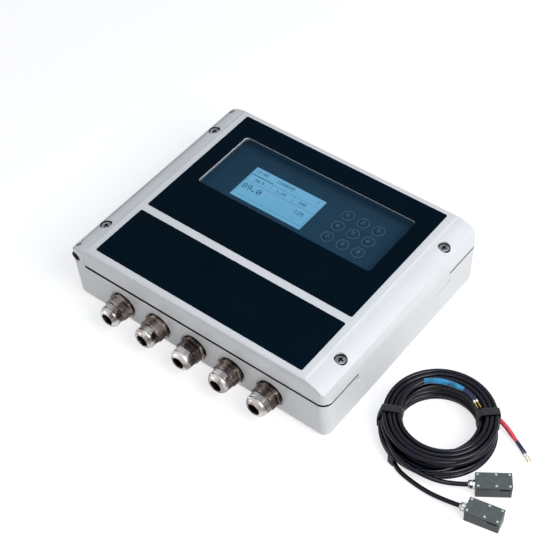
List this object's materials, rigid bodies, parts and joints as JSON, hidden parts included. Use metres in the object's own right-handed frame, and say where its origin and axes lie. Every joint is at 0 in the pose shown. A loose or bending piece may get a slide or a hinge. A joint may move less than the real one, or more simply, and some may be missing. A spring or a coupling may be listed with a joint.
{
  "type": "clamp-on ultrasonic flow meter",
  "caption": "Wall-mounted ultrasonic flow transmitter with hinged lid, display window, keypad and cable glands, with a pair of clamp-on transducers on coiled leads.",
  "frame": {"origin": "middle of the wall face at the back of the transmitter case", "axes": "+Z out of the wall towards the label, +X towards the opening side of the lid, -Y towards the cable glands"},
  "size_m": [0.3813, 0.2132, 0.06],
  "materials": {
    "painted_case": "fine textured silver-grey powder coat on die-cast aluminium",
    "black_rubber": "matte black rubber",
    "window_pane": "clear polished pane",
    "label_film": "satin navy printed film, bare of words",
    "zinc_steel": "zinc plated steel",
    "nickel_brass": "nickel plated turned brass",
    "panel_plastic": "dark slate panel",
    "key_plastic": "dark slate key caps",
    "screen": "lit blue liquid crystal screen",
    "circuit_board": "green solder mask on glass-fibre laminate",
    "brass_spacer": "bright turned brass",
    "black_plastic": "black moulded plastic",
    "terminal_plastic": "green moulded polyamide",
    "relay_plastic": "blue moulded plastic",
    "transducer_plastic": "dark grey-green moulded engineering plastic",
    "lead_jacket": "black cable jacket with a soft sheen",
    "blue_sleeve": "blue heat-shrink sleeve",
    "red_sleeve": "red heat-shrink sleeve",
    "core_insulation": "dark blue core insulation",
    "tinned_crimp": "tinned crimped wire ends",
    "strap_cloth": "black woven hook-and-loop strap"
  },
  "bodies": {
    "base": {"base": "painted_case", "hinge_pins": "zinc_steel", "hinge_set_screws": "zinc_steel", "gland_bodies": "nickel_brass", "gland_washers": "black_rubber", "gland_cap_nuts": "nickel_brass", "gland_seals": "black_rubber", "gland_locknuts": "nickel_brass", "display_panel": "panel_plastic", "screen_frame": "panel_plastic", "screen_glass": "screen", "display_board": "circuit_board", "panel_pillars": "brass_spacer", "panel_spacers": "brass_spacer", "panel_screws": "zinc_steel", "key_switches": "black_plastic", "main_board": "circuit_board", "board_screws": "zinc_steel", "terminal_strips": "terminal_plastic", "terminal_screws": "zinc_steel", "power_module": "black_plastic", "relays": "relay_plastic", "board_link": "black_plastic", "transducer_housing_a": "transducer_plastic", "transducer_cover_a": "transducer_plastic", "cover_screws_a": "zinc_steel", "transducer_gland_a": "nickel_brass", "transducer_housing_b": "transducer_plastic", "transducer_cover_b": "transducer_plastic", "cover_screws_b": "zinc_steel", "transducer_gland_b": "nickel_brass", "lead_a": "lead_jacket", "lead_b": "lead_jacket", "lead_a_coil": "lead_jacket", "lead_b_coil": "lead_jacket", "lead_a_end": "core_insulation", "lead_b_end": "core_insulation", "sleeve_a": "blue_sleeve", "sleeve_b": "red_sleeve", "ferrules_a": "tinned_crimp", "ferrules_b": "tinned_crimp", "coil_straps": "strap_cloth"},
    "lid": {"lid": "painted_case", "gasket": "black_rubber", "window_pane": "window_pane", "upper_label": "label_film", "lower_label": "label_film", "lid_screws": "zinc_steel"},
    "key_1": {"key_1": "key_plastic"},
    "key_2": {"key_2": "key_plastic"},
    "key_3": {"key_3": "key_plastic"},
    "key_4": {"key_4": "key_plastic"},
    "key_5": {"key_5": "key_plastic"},
    "key_6": {"key_6": "key_plastic"},
    "key_7": {"key_7": "key_plastic"},
    "key_8": {"key_8": "key_plastic"},
    "key_9": {"key_9": "key_plastic"}
  },
  "joints": [
    {"name": "lid_hinge", "type": "hinge", "parent": "base", "child": "lid", "pos_m": [-0.116, 0, 0.0455], "axis": [0, -1, 0], "range_deg": [0, 115]},
    {"name": "key_1_press", "type": "slide", "parent": "base", "child": "key_1", "axis": [0, 0, -1], "range_m": [0, 0.0008], "stiffness_N_per_m": 1500},
    {"name": "key_2_press", "type": "slide", "parent": "base", "child": "key_2", "axis": [0, 0, -1], "range_m": [0, 0.0008], "stiffness_N_per_m": 1500},
    {"name": "key_3_press", "type": "slide", "parent": "base", "child": "key_3", "axis": [0, 0, -1], "range_m": [0, 0.0008], "stiffness_N_per_m": 1500},
    {"name": "key_4_press", "type": "slide", "parent": "base", "child": "key_4", "axis": [0, 0, -1], "range_m": [0, 0.0008], "stiffness_N_per_m": 1500},
    {"name": "key_5_press", "type": "slide", "parent": "base", "child": "key_5", "axis": [0, 0, -1], "range_m": [0, 0.0008], "stiffness_N_per_m": 1500},
    {"name": "key_6_press", "type": "slide", "parent": "base", "child": "key_6", "axis": [0, 0, -1], "range_m": [0, 0.0008], "stiffness_N_per_m": 1500},
    {"name": "key_7_press", "type": "slide", "parent": "base", "child": "key_7", "axis": [0, 0, -1], "range_m": [0, 0.0008], "stiffness_N_per_m": 1500},
    {"name": "key_8_press", "type": "slide", "parent": "base", "child": "key_8", "axis": [0, 0, -1], "range_m": [0, 0.0008], "stiffness_N_per_m": 1500},
    {"name": "key_9_press", "type": "slide", "parent": "base", "child": "key_9", "axis": [0, 0, -1], "range_m": [0, 0.0008], "stiffness_N_per_m": 1500}
  ]
}
